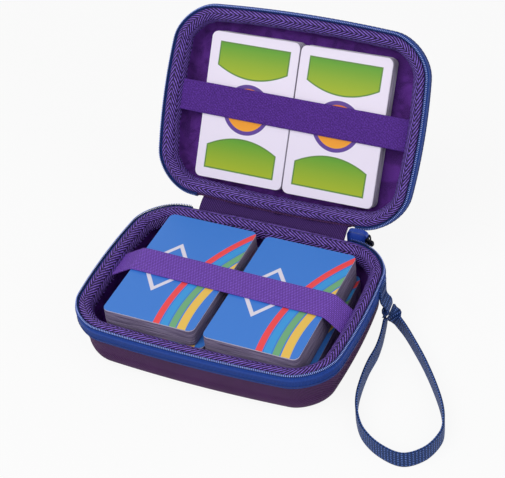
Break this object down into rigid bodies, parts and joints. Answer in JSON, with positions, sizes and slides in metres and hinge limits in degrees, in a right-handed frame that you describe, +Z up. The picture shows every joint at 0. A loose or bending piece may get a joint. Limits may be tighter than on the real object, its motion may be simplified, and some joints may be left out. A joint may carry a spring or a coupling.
{
  "type": "playing card case",
  "caption": "Zip-up hard case for decks of playing cards, with elastic straps in both halves, a fabric hinge and a webbing wrist strap.",
  "frame": {"origin": "middle of the base's flat underside, on the surface that the case rests on", "axes": "+Z up out of the base, +Y towards the hinge, +X to the right seen from the opening side"},
  "size_m": [0.2195, 0.206, 0.1346],
  "materials": {
    "twill_nylon": "matte",
    "napped_lining": "matte",
    "herringbone_binding": "matte",
    "zip_tape": "matte",
    "nylon_coil": "satin",
    "woven_elastic": "matte",
    "blue_card": "satin",
    "white_card": "satin",
    "dark_nickel": "satin",
    "moulded_pull": "satin",
    "woven_webbing": "matte"
  },
  "bodies": {
    "base": {"base_shell": "twill_nylon", "base_lining": "napped_lining", "base_binding": "herringbone_binding", "base_zip_tape": "zip_tape", "base_zip_coil": "nylon_coil", "base_elastic_strap": "woven_elastic", "base_deck_left": "blue_card", "base_deck_right": "blue_card", "base_deck_lower_left": "blue_card", "base_deck_lower_right": "blue_card", "hinge_fabric": "twill_nylon", "strap_tab": "woven_webbing", "wrist_strap": "woven_webbing"},
    "lid": {"lid_shell": "twill_nylon", "lid_lining": "napped_lining", "lid_binding": "herringbone_binding", "lid_zip_tape": "zip_tape", "lid_zip_coil": "nylon_coil", "lid_elastic_strap": "woven_elastic", "lid_deck_left": "white_card", "lid_deck_right": "white_card"},
    "slider": {"zip_slider": "dark_nickel", "puller_link": "dark_nickel", "pull_rivet": "dark_nickel"},
    "puller": {"pull_tab": "moulded_pull"}
  },
  "joints": [
    {"name": "lid_hinge", "type": "hinge", "parent": "base", "child": "lid", "pos_m": [0, 0.0601, 0.035], "axis": [-1, 0, 0], "range_deg": [-122.8, 57.2], "deforming": ["hinge_fabric"]},
    {"name": "zip_travel", "type": "hinge", "parent": "base", "child": "slider", "pos_m": [0.0548, 0.0334, 0.035], "axis": [0, 0, -1], "range_deg": [0, 45]},
    {"name": "pull_swing", "type": "hinge", "parent": "slider", "child": "puller", "pos_m": [0.0538, 0.059, 0.034], "axis": [0, -1, 0], "range_deg": [-20, 20]}
  ]
}
